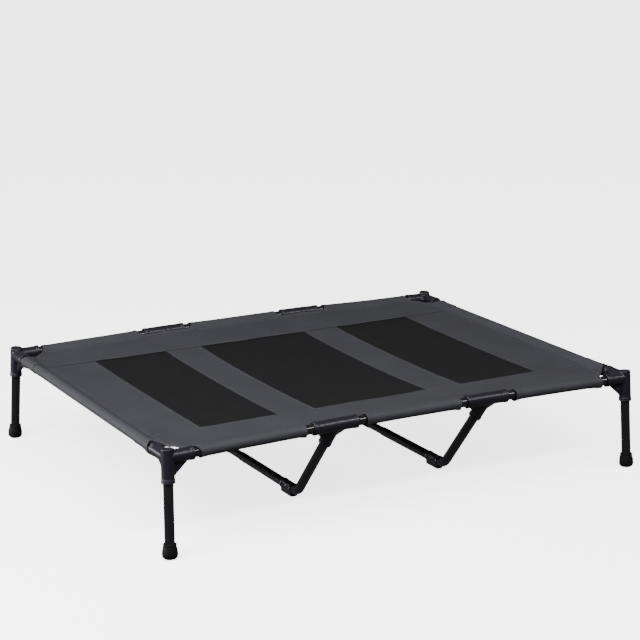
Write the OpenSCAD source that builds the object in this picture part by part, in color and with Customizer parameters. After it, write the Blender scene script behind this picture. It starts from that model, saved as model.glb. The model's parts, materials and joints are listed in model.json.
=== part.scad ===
// Raised dog cot: a knock-down frame of plugged steel tubes with a stretched fabric deck.
// Origin at the middle of the footprint, on the floor. X runs along the cot, Y to its back.

/* [Frame] */
// Distance between the axes of the two short rails
frame_length = 1168; // [960:2:1400]
// Distance between the axes of the two long rails
frame_width = 860; // [760:2:1000]
// Height of the rail axes above the floor at the corners
rail_height = 212; // [190:1:260]
// How much higher the long rails lie at the tees than at the corners
rail_rise = 8; // [0:1:14]
// Distance of each tee from the middle of the cot
tee_offset = 194; // [160:1:240]
// Lean of a corner leg towards the front or back, in degrees
leg_lean_side = 4.3; // [0:0.1:6]
// Lean of a corner leg towards the short end, in degrees
leg_lean_end = 1.4; // [0:0.1:3]

/* [Tubes] */
// Outer diameter of every tube
tube_d = 21.5; // [18:0.5:22]
// Wall of every tube
tube_wall = 1.2; // [1:0.1:1.6]
// Radial clearance of a tube in its socket
plug_gap = 0.1; // [0.08:0.01:0.2]
// Length of a swaged neck inside the next tube
neck_length = 42; // [30:1:60]
// Length of the cone between a neck and the full tube
neck_cone = 6; // [4:1:10]

/* [Corner connectors] */
// Outer diameter of the three sockets
corner_socket_d = 25.6; // [24.6:0.1:30]
// Length of the long-rail socket from the corner
long_socket = 57; // [50:1:64]
// Length of the short-rail socket from the corner
short_socket = 62; // [50:1:66]
// Length of the leg socket below the corner
leg_socket = 54; // [46:1:64]
// Height of the round boss above the corner
boss_rise = 16; // [15:0.5:20]
// Depth of the dish in the top of the boss
boss_dish = 2; // [1:0.5:2.5]
// Reach of the webs along the rail sockets
web_reach = 42; // [36:1:46]
// Reach of the webs down the leg socket
web_drop = 35; // [30:1:42]
// Thickness of the webs
web_t = 4.5; // [3:0.5:6]
// Reach of the flat web between the two rail sockets
flat_web_reach = 29; // [24:1:32]

/* [Tee connectors] */
// Outer diameter of the tee's sockets
tee_socket_d = 26.5; // [25:0.5:29]
// Length of each rail socket from the middle of the tee
tee_arm = 54; // [48:1:60]
// Length of the slanted leg socket from the rail axis
tee_leg_socket = 66; // [56:1:74]
// Reach of the tee's webs along its rail sockets
tee_web_reach = 38; // [32:1:42]
// Reach of the tee's webs down the slanted socket
tee_web_drop = 42; // [36:1:48]
// How far the round hub stands out where the tee's sockets meet
hub_swell = 0.3; // [0.1:0.05:0.8]

/* [Socket details] */
// Distance from a connector's centre to the end of each tube in it
tube_stop = 13.5; // [13:0.5:18]
// Height of the raised rings at a socket's mouth
ring_rise = 1; // [0.5:0.1:1.5]
// Width of the ring at the mouth
lip_w = 4; // [3:0.5:6]
// Width of the thin second ring
bead_w = 2; // [1.5:0.5:3]
// Gap between the two rings
ring_gap = 2; // [1:0.5:3]
// Lead-in chamfer of a socket's mouth
mouth_chamfer = 0.8; // [0.4:0.1:1]
// End clearance where a tube meets its stop
seat_gap = 0.2; // [0.1:0.05:0.4]

/* [Foot caps] */
// Largest diameter of a rubber foot cap
foot_d = 32; // [30:0.5:34]
// Diameter of the cap's upper edge
foot_top_d = 27; // [26:0.5:28]
// Height of the cap
foot_height = 32; // [26:1:38]
// Rubber below the end of the leg tube
foot_sole = 7; // [6:0.5:9]
// Rounding of the cap's lower edge
foot_round = 6; // [3:0.5:7]
// Rounding of the cap's upper edge
foot_top_round = 1.5; // [1:0.5:2]

/* [Middle supports] */
// Slant of a support leg from the vertical, in degrees
support_lean = 38.6; // [34:0.2:42]
// Height of the floor crossbar's axis
crossbar_height = 18.6; // [18:0.2:22]
// Bend radius of a support leg at its axis
bend_radius = 32; // [28:1:40]
// How much wider the tube's radius is round the bend
bend_swell = 0.05; // [0.05:0.01:0.2]
// Length of a floor coupling
coupling_length = 48; // [40:1:60]
// Outer diameter of a floor coupling
coupling_d = 25; // [24.6:0.2:28]
// Width of a floor coupling's foot pad
pad_w = 17; // [14:1:20]
// Straight tube between the bend and the coupling
coupling_clear = 1.5; // [1:0.5:6]
// Web inside a coupling between the two tubes
coupling_web = 3; // [2:0.5:5]
// Length of the narrow neck that shows on a crossbar
open_neck = 60; // [0:1:100]

/* [Fabric] */
// Thickness of the coated strip fabric
cloth_t = 1.2; // [1:0.1:1.6]
// Thickness of the open mesh
mesh_t = 1; // [0.8:0.1:1.4]
// Clearance between a sleeve and the tube in it
sleeve_gap = 0.3; // [0.2:0.05:0.6]
// Clearance between neighbouring pieces of fabric
seam_gap = 0.3; // [0.2:0.05:0.5]
// Overlap of the mesh under the strips
lap = 10; // [6:1:16]
// Sag of the middle of the deck
sag = 8; // [0:0.5:20]
// Distance from a rail's axis to its sleeve's seam, where the deck levels out
sleeve_depth = 22; // [18:1:30]
// Distance from each long rail to the mesh
side_margin = 143; // [110:1:170]
// Distance from the left rail to the mesh
left_margin = 145; // [110:1:170]
// Distance from the right rail to the mesh
right_margin = 150; // [110:1:170]
// Width of the middle mesh panel
middle_mesh_w = 290.5; // [250:0.5:310]
// How far the middle mesh panel lies to the left of the middle
middle_mesh_shift = 14; // [0:0.5:20]
// Width of the two strips between the mesh panels
strip_w = 93.5; // [70:0.5:110]
// Start of the long sleeves from the corner
long_sleeve_start = 68; // [66:1:80]
// Start of the short sleeves from the corner
short_sleeve_start = 76; // [72:1:84]
// Half length of the cut-out in a sleeve at a tee
cutout_half = 74; // [64:1:84]
// Depth of that cut-out from the rail axis
cutout_depth = 16; // [16:0.5:20]

/* [Hidden] */
$fn = 48;
eps = 0.01;
far = 2000;
tube_r = tube_d / 2;
bore_r = tube_r - tube_wall;
neck_r = bore_r - plug_gap;
socket_bore_r = tube_r + plug_gap;
tube_start = tube_stop + seat_gap;
corner_r = corner_socket_d / 2;
tee_r = tee_socket_d / 2;
half_l = frame_length / 2;
half_w = frame_width / 2;
tee_height = rail_height + rail_rise;
outer_run = half_l - tee_offset;
rail_tilt = atan(rail_rise / outer_run);
outer_span = outer_run / cos(rail_tilt);
// Length of a corner leg's axis from the corner to the floor
leg_reach = rail_height / (cos(leg_lean_side) * cos(leg_lean_end));
leg_end = leg_reach - foot_sole;
// The support leg: slant length to its corner, the turn there and what the bend takes off
slant = (tee_height - crossbar_height) / cos(support_lean);
turn = 90 - support_lean;
bend_cut = bend_radius * tan(turn / 2);
corner_y = slant * sin(support_lean);
corner_drop = tee_height - crossbar_height;
coupling_y = corner_y + bend_cut + coupling_clear;
coupling_mid = coupling_y + coupling_length / 2;
crossbar_start = half_w - coupling_mid - coupling_web / 2 - seat_gap;
// Fabric
sleeve_r = tube_r + sleeve_gap;
cloth_r = sleeve_r + cloth_t;
seam = half_w - side_margin;
mesh_x0 = -half_l + left_margin;
mesh_x2 = -middle_mesh_shift - middle_mesh_w / 2;
mesh_x1 = mesh_x2 - strip_w;
mesh_x3 = mesh_x2 + middle_mesh_w;
mesh_x4 = mesh_x3 + strip_w;
mesh_x5 = half_l - right_margin;
// How far the deck stands over the top of a sleeve where the two are joined
crest_rise = 0.4;
// Where the deck leaves a sleeve's round top on its straight way down to the seam
crest_r = cloth_r + crest_rise;
leave_angle = acos(crest_r / sleeve_depth);
leave_depth = crest_r * cos(leave_angle);
// How far a strip's edge reaches over its sleeve's crest
crest_lap = 1;
// How quickly a cut-out's side runs in
cutout_slope = 4;
// Least spacing of a strip's rows where a cut-out crowds them
row_gap = 2;
// How far the straight tube runs into the wider bend
bend_join = 1;

tube_paint = "#1b1b20";
moulding = "#24232c";
rubber = "#1d1d1f";
coated_cloth = "#4b4d51";
open_mesh = "#232325";

// Name, side along X and side along Y of each corner, tee and support
CORNERS = [
    ["front_left", -1, -1],
    ["front_right", 1, -1],
    ["back_left", -1, 1],
    ["back_right", 1, 1]
];
SIDES = [["front", -1], ["back", 1]];
ENDS = [["left", -1], ["right", 1]];

// ---- Places --------------------------------------------------------------------------

module flip_x(side) {
    if (side > 0) mirror([1, 0, 0]) children();
    else children();
}

module flip_y(side) {
    if (side > 0) mirror([0, 1, 0]) children();
    else children();
}

// At a corner, where +X and +Y point inwards along the two rails
module at_corner(x_side, y_side) {
    translate([x_side * half_l, y_side * half_w, rail_height])
        flip_x(x_side) flip_y(y_side) children();
}

// At a tee, where +X points to the middle of the cot and +Y inwards
module at_tee(x_side, y_side) {
    translate([x_side * tee_offset, y_side * half_w, tee_height])
        flip_x(x_side) flip_y(y_side) children();
}

// Under the middle of a crossbar half, where +Y points from the bed's middle to its side
module at_crossbar(x_side, y_side) {
    translate([x_side * tee_offset, 0, crossbar_height])
        flip_y(-y_side) children();
}

module along_x() { rotate([0, 90, 0]) children(); }
module along_y() { rotate([-90, 0, 0]) children(); }
module leaned() { rotate([-leg_lean_side, leg_lean_end, 0]) children(); }
module tilted() { rotate([0, -rail_tilt, 0]) children(); }

// ---- Tubes ---------------------------------------------------------------------------

// A tube along +Z
module tube(from, to) {
    translate([0, 0, from]) difference() {
        cylinder(h = to - from, r = tube_r);
        translate([0, 0, -eps]) cylinder(h = to - from + 2 * eps, r = bore_r);
    }
}

// A tube along +Z whose far end is drawn down to a neck, which shows for a length first
module necked_tube(from, shoulder, open) {
    neck_end = shoulder + neck_cone + open + neck_length;
    neck_bore_r = neck_r - tube_wall;
    difference() {
        union() {
            translate([0, 0, from]) cylinder(h = shoulder - from, r = tube_r);
            translate([0, 0, shoulder]) cylinder(h = neck_cone, r1 = tube_r, r2 = neck_r);
            translate([0, 0, shoulder + neck_cone])
                cylinder(h = open + neck_length, r = neck_r);
        }
        translate([0, 0, from - eps]) cylinder(h = shoulder - from + eps, r = bore_r);
        translate([0, 0, shoulder - eps])
            cylinder(h = neck_cone + 2 * eps, r1 = bore_r, r2 = neck_bore_r);
        translate([0, 0, shoulder + neck_cone])
            cylinder(h = neck_end, r = neck_bore_r);
    }
}

module corner_leg(x_side, y_side) {
    color(tube_paint) at_corner(x_side, y_side) leaned() mirror([0, 0, 1])
        tube(tube_start, leg_end);
}

module long_rail(x_side, y_side) {
    color(tube_paint) at_corner(x_side, y_side) tilted() along_x()
        tube(tube_start, outer_span - tube_start);
}

module long_rail_middle(y_side) {
    color(tube_paint) translate([0, y_side * half_w, tee_height]) along_x()
        tube(tube_start - tee_offset, tee_offset - tube_start);
}

// The front half takes the back half's neck
module short_rail(x_side, y_side) {
    color(tube_paint) at_corner(x_side, y_side) along_y()
        if (y_side < 0) tube(tube_start, half_w);
        else necked_tube(tube_start, half_w - neck_cone - seat_gap, seat_gap);
}

module crossbar(x_side, y_side) {
    color(tube_paint) at_crossbar(x_side, y_side) along_y()
        if (y_side < 0) tube(0, crossbar_start);
        else translate([0, 0, crossbar_start]) mirror([0, 0, 1])
            necked_tube(0, crossbar_start - neck_cone - open_neck, open_neck);
}

// The solid swept by a circle along a support leg, between two distances. The bend is a
// hair wider than the straight tube, which runs a little way into it at each end.
module support_path(from, to, r) {
    bend_y = corner_y + bend_cut;
    rotate([support_lean, 0, 0]) translate([0, 0, bend_cut - slant - bend_join])
        cylinder(h = slant - bend_cut - from + bend_join, r = r);
    translate([0, bend_y, bend_radius - corner_drop]) rotate([90, 0, 90])
        rotate([0, 0, -90 - turn]) rotate_extrude(angle = turn)
            translate([bend_radius, 0]) circle(r = r + bend_swell);
    translate([0, bend_y - bend_join, -corner_drop]) along_y()
        cylinder(h = to - bend_y + bend_join, r = r);
}

module support_leg(x_side, y_side) {
    tail = coupling_mid - coupling_web / 2 - seat_gap;
    color(tube_paint) at_tee(x_side, y_side) difference() {
        support_path(tube_start, tail, tube_r);
        support_path(tube_start - eps, tail + eps, bore_r);
    }
}

// ---- Moulded connectors --------------------------------------------------------------

// The outside of a socket along +Z, with a lip and a bead at its mouth
module socket_body(reach, r) {
    cylinder(h = reach, r = r);
    translate([0, 0, reach - lip_w]) cylinder(h = lip_w, r = r + ring_rise);
    translate([0, 0, reach - lip_w - ring_gap - bead_w])
        cylinder(h = bead_w, r = r + ring_rise);
}

// The hole of a socket along +Z, from its stop to its mouth
module socket_bore(reach) {
    translate([0, 0, tube_stop]) cylinder(h = reach - tube_stop + eps, r = socket_bore_r);
    translate([0, 0, reach - mouth_chamfer]) cylinder(
        h = mouth_chamfer + eps, r1 = socket_bore_r, r2 = socket_bore_r + mouth_chamfer
    );
}

// A triangular web in the XZ plane from the centre along +X and down -Z
module web(reach, drop, r) {
    rotate([90, 0, 0]) translate([0, 0, -web_t / 2]) linear_extrude(web_t)
        polygon([[0, 0], [reach, 0], [reach, -r], [r, -drop], [0, -drop]]);
}

module corner_connector(x_side, y_side) {
    color(moulding) at_corner(x_side, y_side) difference() {
        union() {
            leaned() {
                translate([0, 0, -leg_socket]) cylinder(h = leg_socket + boss_rise, r = corner_r);
                translate([0, 0, -leg_socket]) cylinder(h = lip_w, r = corner_r + ring_rise / 2);
            }
            tilted() along_x() socket_body(long_socket, corner_r);
            along_y() socket_body(short_socket, corner_r);
            web(web_reach, web_drop, corner_r);
            rotate([0, 0, 90]) web(web_reach, web_drop, corner_r);
            translate([0, 0, -web_t / 2]) linear_extrude(web_t)
                polygon([[0, 0], [flat_web_reach, 0], [0, flat_web_reach]]);
        }
        leaned() mirror([0, 0, 1]) socket_bore(leg_socket);
        leaned() translate([0, 0, boss_rise - boss_dish])
            cylinder(h = boss_dish + eps, r = corner_r - tube_wall * 2);
        tilted() along_x() socket_bore(long_socket);
        along_y() socket_bore(short_socket);
    }
}

module tee_connector(x_side, y_side) {
    color(moulding) at_tee(x_side, y_side) difference() {
        union() {
            along_x() sphere(r = tee_r + hub_swell);
            along_x() socket_body(tee_arm, tee_r);
            tilted() mirror([1, 0, 0]) along_x() socket_body(tee_arm, tee_r);
            rotate([support_lean, 0, 0]) {
                translate([0, 0, -tee_leg_socket]) cylinder(h = tee_leg_socket, r = tee_r);
                translate([0, 0, -tee_leg_socket])
                    cylinder(h = lip_w, r = tee_r + ring_rise / 2);
                web(tee_web_reach, tee_web_drop, tee_r);
                mirror([1, 0, 0]) web(tee_web_reach, tee_web_drop, tee_r);
            }
        }
        along_x() socket_bore(tee_arm);
        tilted() mirror([1, 0, 0]) along_x() socket_bore(tee_arm);
        rotate([support_lean, 0, 0]) mirror([0, 0, 1]) socket_bore(tee_leg_socket);
    }
}

module floor_coupling(x_side, y_side) {
    mid = coupling_mid - coupling_y;
    hole = mid - coupling_web / 2;
    color(moulding) at_tee(x_side, y_side)
        translate([0, coupling_y, -corner_drop]) difference() {
            union() {
                along_y() cylinder(h = coupling_length, r = coupling_d / 2);
                rotate([90, 0, 0]) mirror([0, 0, 1]) linear_extrude(coupling_length)
                    polygon([
                        [-pad_w / 2, 0],
                        [-pad_w / 2, ring_rise - crossbar_height],
                        [ring_rise - pad_w / 2, -crossbar_height],
                        [pad_w / 2 - ring_rise, -crossbar_height],
                        [pad_w / 2, ring_rise - crossbar_height],
                        [pad_w / 2, 0]
                    ]);
            }
            translate([0, -eps, 0]) along_y() cylinder(h = hole + eps, r = socket_bore_r);
            translate([0, mid + coupling_web / 2, 0]) along_y()
                cylinder(h = hole + eps, r = socket_bore_r);
        }
}

// ---- Rubber foot caps ----------------------------------------------------------------

module foot_cap(x_side, y_side) {
    top = leg_reach - foot_height;
    // The cap runs a little below the floor before it is cut level there
    bottom = leg_reach + foot_d / 2 * sin(leg_lean_side);
    color(rubber) difference() {
        at_corner(x_side, y_side) leaned() mirror([0, 0, 1]) difference() {
            rotate_extrude() polygon(concat(
                [[0, top], [foot_top_d / 2 - foot_top_round, top]],
                [for (a = [-75 : 15 : 0])
                    [foot_top_d / 2 - foot_top_round * (1 - cos(a)),
                     top + foot_top_round * (1 + sin(a))]],
                [for (a = [0 : 15 : 75])
                    [foot_d / 2 - foot_round * (1 - cos(a)),
                     bottom - foot_round * (1 - sin(a))]],
                [[foot_d / 2 - foot_round, bottom], [0, bottom]]
            ));
            translate([0, 0, top - eps]) cylinder(h = leg_end - top + eps, r = socket_bore_r);
        }
        translate([-far / 2, -far / 2, -far]) cube([far, far, far]);
    }
}

// ---- Fabric deck ---------------------------------------------------------------------

function rise_at(x) = rail_rise * min(1, (half_l - abs(x)) / outer_run);

// How far the deck stands over its own plane, at a distance inside a rail's axis: round over
// the sleeve's top, and then straight down to its seam
function sleeve_rise(inside) =
    inside < leave_depth
        ? sqrt(crest_r * crest_r - inside * inside)
        : max(0, (sleeve_depth - inside) / tan(leave_angle));

// Height of the deck's upper face
function deck_z(x, y) =
    let (
        u = min(1, abs(x) / (half_l - sleeve_depth)),
        v = min(1, abs(y) / (half_w - sleeve_depth)),
        plane = rise_at(x) * v * v - sag * (1 - u * u) * (1 - pow(v, 3))
    )
    rail_height + plane + max(sleeve_rise(half_l - abs(x)), sleeve_rise(half_w - abs(y)));

// A sheet over stations in X, each with its own row of places in Y
module sheet(stations, places, depth, t) {
    n = len(stations);
    row = len(places[0]);
    cells = row - 1;
    upper = [for (i = [0 : n - 1], y = places[i])
        [stations[i], y, deck_z(stations[i], y) - depth]];
    points = concat(upper, [for (p = upper) p - [0, 0, t]]);
    low = n * row;
    faces = concat(
        [for (i = [0 : n - 2], j = [0 : cells - 1], k = [0, 1])
            let (a = i * row + j, b = a + row)
            k == 0 ? [a, a + 1, b] : [a + 1, b + 1, b]],
        [for (i = [0 : n - 2], j = [0 : cells - 1], k = [0, 1])
            let (a = low + i * row + j, b = a + row)
            k == 0 ? [a, b, a + 1] : [a + 1, b, b + 1]],
        [for (i = [0 : n - 2], e = [0, cells], k = [0, 1])
            let (a = i * row + e, b = a + row, q = e == 0)
            k == 0 ? (q ? [a, b, low + a] : [a, low + a, b])
                   : (q ? [b, low + b, low + a] : [b, low + a, low + b])],
        [for (i = [0, n - 1], j = [0 : cells - 1], k = [0, 1])
            let (a = i * row + j, b = a + 1, q = i == 0)
            k == 0 ? (q ? [a, low + a, b] : [a, b, low + a])
                   : (q ? [b, low + a, low + b] : [b, low + b, low + a])]
    );
    polyhedron(points, faces);
}

// Stations between two ends, no further apart than a cell
function steps(from, to, cell) =
    let (n = ceil((to - from) / cell)) [for (i = [0 : n]) from + (to - from) * i / n];

// A sleeve of cloth along +Z
module sleeve(from, to) {
    translate([0, 0, from]) difference() {
        cylinder(h = to - from, r = cloth_r);
        translate([0, 0, -eps]) cylinder(h = to - from + 2 * eps, r = sleeve_r);
    }
}

// Distance of a side strip's outer edge from the rail axis, at a place along the cot: a
// quarter ellipse round each corner and a notch at each tee
function edge_inset(x) =
    let (
        from_corner = min(1, (half_l - abs(x)) / long_sleeve_start),
        from_tee = abs(abs(x) - tee_offset),
        cut = short_sleeve_start * sqrt(1 - from_corner * from_corner),
        notch = (cutout_half - from_tee) * cutout_slope
    )
    max(crest_lap, cut, min(notch, cutout_depth));

// Rows of a side strip from its seam to its outer edge
function strip_rows(inset) = [
    seam + seam_gap / 2,
    half_w - max(sleeve_depth, inset + 2 * row_gap),
    half_w - max(leave_depth, inset + row_gap),
    half_w - inset
];

// Stations of an end panel, or of a strip's end, over the sleeve of a short rail
rail_stations = [half_l - sleeve_depth, half_l - leave_depth, half_l - crest_lap];

module side_strip(y_side) {
    // A notch's side crosses the sleeve's round top, and then its straight part
    notch = [for (inset = [leave_depth, cutout_depth]) cutout_half - inset / cutout_slope];
    half = concat(
        steps(0, tee_offset - cutout_half, 90),
        [tee_offset - notch[0], tee_offset - notch[1], tee_offset],
        [tee_offset + notch[1], tee_offset + notch[0]],
        steps(tee_offset + cutout_half, half_l - long_sleeve_start, 110),
        [for (part = [0.997, 0.97, 0.85, 0.6]) half_l - long_sleeve_start * part],
        rail_stations
    );
    n = len(half);
    stations = concat([for (i = [n - 1 : -1 : 1]) -half[i]], half);
    color(coated_cloth) {
        // The deck is the same at the front and the back, so the back strip is the pattern
        flip_y(-y_side) sheet(stations, [for (x = stations) strip_rows(edge_inset(x))], 0, cloth_t);
        for (x_side = [-1, 1]) at_corner(x_side, y_side) {
            tilted() along_x() sleeve(long_sleeve_start, outer_span - cutout_half);
            along_y() sleeve(short_sleeve_start, half_w - seam - seam_gap / 2);
        }
        translate([0, y_side * half_w, tee_height]) along_x()
            sleeve(cutout_half - tee_offset, tee_offset - cutout_half);
    }
}

module end_panel(x_side) {
    inner = x_side < 0 ? -mesh_x0 : mesh_x5;
    reach = seam - seam_gap / 2;
    outward = concat(steps(inner, half_l - sleeve_depth, 60), [rail_stations[1], rail_stations[2]]);
    color(coated_cloth) {
        // The deck is the same at both ends, so the right panel is the pattern
        flip_x(-x_side) sheet(outward, [for (x = outward) steps(-reach, reach, 100)], 0, cloth_t);
        translate([x_side * half_l, 0, rail_height]) along_y() sleeve(-reach, reach);
    }
}

// A piece across the middle of the deck, at a depth below its face
module deck_piece(from, to, reach, depth, t) {
    stations = steps(from, to, 60);
    sheet(stations, [for (x = stations) steps(-reach, reach, 100)], depth, t);
}

module cross_strip(x_side) {
    from = x_side < 0 ? mesh_x1 : mesh_x3;
    color(coated_cloth) deck_piece(from, from + strip_w, seam - seam_gap / 2, 0, cloth_t);
}

module mesh_panel(from, to) {
    color(open_mesh) deck_piece(from - lap, to + lap, seam + lap, cloth_t + seam_gap, mesh_t);
}

// ---- Pieces --------------------------------------------------------------------------

for (c = CORNERS) {
    corner_connector(c[1], c[2]);
    corner_leg(c[1], c[2]);
    foot_cap(c[1], c[2]);
    long_rail(c[1], c[2]);
    short_rail(c[1], c[2]);
    tee_connector(c[1], c[2]);
    support_leg(c[1], c[2]);
    floor_coupling(c[1], c[2]);
    crossbar(c[1], c[2]);
}
for (s = SIDES) {
    long_rail_middle(s[1]);
    side_strip(s[1]);
}
for (e = ENDS) {
    end_panel(e[1]);
    cross_strip(e[1]);
}
mesh_panel(mesh_x0, mesh_x1);  // mesh_panel_left
mesh_panel(mesh_x2, mesh_x3);  // mesh_panel_middle
mesh_panel(mesh_x4, mesh_x5);  // mesh_panel_right
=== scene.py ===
"""A raised pet cot: black tube frame, moulded connectors and a cloth deck with mesh panels."""

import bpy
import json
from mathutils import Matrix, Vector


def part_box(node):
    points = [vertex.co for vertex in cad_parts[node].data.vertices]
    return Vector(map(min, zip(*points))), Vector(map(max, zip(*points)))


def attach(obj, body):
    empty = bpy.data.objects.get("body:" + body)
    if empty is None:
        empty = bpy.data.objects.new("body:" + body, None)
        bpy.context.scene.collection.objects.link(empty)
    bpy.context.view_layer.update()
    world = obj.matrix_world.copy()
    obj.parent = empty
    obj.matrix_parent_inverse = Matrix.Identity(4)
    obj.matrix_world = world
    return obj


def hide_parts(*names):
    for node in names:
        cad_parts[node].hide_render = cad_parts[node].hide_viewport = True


bl_info = {
    "name": "Raised Pet Cot",
    "version": (1, 0, 0),
    "blender": (4, 5, 0),
    "location": "3D View > Sidebar > Pet Cot",
    "description": "Dresses the frame of a raised pet cot with its deck, finishes and studio",
    "category": "Object",
}

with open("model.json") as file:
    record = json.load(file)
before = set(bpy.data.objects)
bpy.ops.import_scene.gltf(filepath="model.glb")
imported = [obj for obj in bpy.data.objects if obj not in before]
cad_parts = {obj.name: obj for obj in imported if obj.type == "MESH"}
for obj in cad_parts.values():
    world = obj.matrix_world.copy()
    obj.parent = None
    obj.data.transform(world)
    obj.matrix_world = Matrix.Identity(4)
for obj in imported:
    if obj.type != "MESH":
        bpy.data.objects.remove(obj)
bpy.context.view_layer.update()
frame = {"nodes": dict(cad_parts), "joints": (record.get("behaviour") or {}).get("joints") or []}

import json
import math

import bmesh
import bpy
import numpy as np
from mathutils import Matrix, Vector

MM = 0.001
CORNERS = [(x, y) for y in ("front", "back") for x in ("left", "right")]
SIDE = {"front": -1, "back": 1, "left": -1, "right": 1}

# ---- Places taken from the frame ---------------------------------------------------


def middle(node):
    """Middle of a CAD node's box."""
    low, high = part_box(node)
    return (low + high) / 2


def size(node):
    """Size of a CAD node's box along each axis."""
    low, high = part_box(node)
    return high - low


HALF_L = middle("short_rail_front_right").x
HALF_W = middle("long_rail_back_middle").y
RAIL_Z = middle("short_rail_front_right").z
TEE_Z = middle("long_rail_back_middle").z
TEE_X = middle("floor_coupling_front_right").x
TUBE_R = size("long_rail_back_middle").z / 2
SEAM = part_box("cross_strip_left")[1].y
MESH_EDGES = [
    (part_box("end_panel_left")[1].x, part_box("cross_strip_left")[0].x),
    (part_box("cross_strip_left")[1].x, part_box("cross_strip_right")[0].x),
    (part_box("cross_strip_right")[1].x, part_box("end_panel_right")[0].x),
]

# ---- Sizes and colours that a user would change --------------------------------------


def length(name, description, default, low=0.0, high=2.0):
    """A size in metres."""
    return bpy.props.FloatProperty(
        name=name, description=description, default=default, min=low, max=high,
        unit="LENGTH", subtype="DISTANCE", precision=5,
    )


def cut_sizes(place, *sizes):
    """The two sizes of a corner's cut-out."""
    return bpy.props.FloatVectorProperty(
        name=f"{place} corner", default=sizes, size=2, min=0, max=1, unit="LENGTH", precision=5,
        description="From the corner to the long sleeve's end and to the short sleeve's end",
    )


def end_slants(place, *sizes):
    """How slanting the two sleeves end at a corner."""
    return bpy.props.FloatVectorProperty(
        name=f"{place} slants", default=sizes, size=2, min=-1, max=1, unit="LENGTH", precision=5,
        description="How much further the long and the short sleeve's end reach at the outer side",
    )


def roundness(place, default):
    """How round a corner's cut-out is."""
    return bpy.props.FloatProperty(
        name=f"{place} roundness", default=default, min=1, max=3,
        description="From 1, cut straight across the corner, to 2, cut as an ellipse",
    )


def colour(name, description, code):
    """A colour, from its sRGB hex value."""
    return bpy.props.FloatVectorProperty(
        name=name, description=description, default=paint(code)[:3], size=3,
        subtype="COLOR", min=0, max=1,
    )


def paint(code):
    """Linear colour of an sRGB hex value."""
    parts = [int(code[i : i + 2], 16) / 255 for i in (1, 3, 5)]
    return [c / 12.92 if c <= 0.04045 else ((c + 0.055) / 1.055) ** 2.4 for c in parts] + [1]


class CotCloth(bpy.types.PropertyGroup):
    """Sizes of the deck's cloth and mesh"""

    thickness: length("Cloth", "Thickness of the coated cloth", 0.9 * MM)
    mesh_thickness: length("Mesh", "Thickness of the textile mesh", 0.7 * MM)
    sleeve_radius: length("Sleeve radius", "Outer radius of a sleeve round its rail", 12 * MM)
    sleeve_reach: length("Sleeve seam", "Distance of a sleeve's seam from the rail axis", 22 * MM)
    sleeve_hem: length("Sleeve hem", "Width of the cloth turned in under a sleeve's seam", 8 * MM)
    lap: length("Lap", "How far one piece runs under its neighbour at a seam", 10 * MM)
    hem: length("Hem", "Width of a turned edge", 8 * MM)
    sag: length("Sag", "How far the middle of the deck hangs", 8 * MM)
    front_left: cut_sizes("Front left", 62 * MM, 79 * MM)
    front_right: cut_sizes("Front right", 77 * MM, 80 * MM)
    back_left: cut_sizes("Back left", 68 * MM, 73 * MM)
    back_right: cut_sizes("Back right", 66 * MM, 84 * MM)
    slant_front_left: end_slants("Front left", -9 * MM, 13 * MM)
    slant_front_right: end_slants("Front right", 3 * MM, 3 * MM)
    slant_back_left: end_slants("Back left", 0, 3 * MM)
    slant_back_right: end_slants("Back right", 0, 3 * MM)
    round_front_left: roundness("Front left", 1.1)
    round_front_right: roundness("Front right", 1.0)
    round_back_left: roundness("Back left", 1.4)
    round_back_right: roundness("Back right", 1.5)
    cut_rise: length("Cut rise", "How far a corner's cut edge is pulled up", 6 * MM)
    cut_lip: length("Cut lip", "How far a corner's cut edge is turned down", 3.5 * MM)
    notch_half: length("Notch", "Half length of the cut-out at a tee", 74 * MM)
    notch_depth: length("Notch depth", "Depth of that cut-out from the rail axis", 17 * MM)
    notch_run: length("Notch corner", "Length of the cut-out's round corner", 14 * MM)
    stitch: length("Stitch", "Length of one stitch", 2.6 * MM)
    stitch_gap: length("Stitch gap", "Gap between two stitches", 1.2 * MM)
    thread: length("Thread", "Radius of the sewing thread", 0.32 * MM)


class CotFittings(bpy.types.PropertyGroup):
    """Sizes of the moulded connectors and foot caps"""

    corner_barrel: length("Corner barrel", "Radius of a corner connector's sockets", 14.0 * MM)
    tee_barrel: length("Tee barrel", "Radius of a tee's sockets", 14.2 * MM)
    bore_gap: length("Bore gap", "Gap between a tube and its socket", 0.35 * MM)
    ring: length("Ring", "How far a socket's end rings stand out", 0.9 * MM)
    web: length("Web", "Thickness of a connector's webs", 5 * MM)
    long_arm: length("Long arm", "From a corner to the long socket's mouth", 57 * MM)
    short_arm: length("Short arm", "From a corner to the short socket's mouth", 62 * MM)
    leg_arm: length("Leg arm", "From a corner down to the leg socket's mouth", 54 * MM)
    boss: length("Boss", "Height of a corner's boss over the rails", 18 * MM)
    tee_arm: length("Tee arm", "From a tee's middle to a rail socket's mouth", 54 * MM)
    tee_leg: length("Tee leg", "From a tee's middle to the leg socket's mouth", 66 * MM)
    tee_lean: bpy.props.FloatProperty(
        name="Tee lean", description="Lean of a support leg", default=math.radians(38.6),
        subtype="ANGLE", unit="ROTATION",
    )
    coupling: length("Coupling", "Radius of a floor coupling", 12.5 * MM)
    pad: length("Coupling pad", "Width of a floor coupling's foot", 17 * MM)
    cap_height: length("Cap height", "Height of a foot cap", 32 * MM)
    cap_top: length("Cap top", "Radius of a foot cap's collar", 14.2 * MM)
    cap_foot: length("Cap foot", "Largest radius of a foot cap", 16.9 * MM)
    flute: length("Flute", "Depth of a foot cap's flutes", 0.35 * MM)
    cell: length("Cell", "Cell on which the webs are blended into the sockets", 0.8 * MM)


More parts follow.
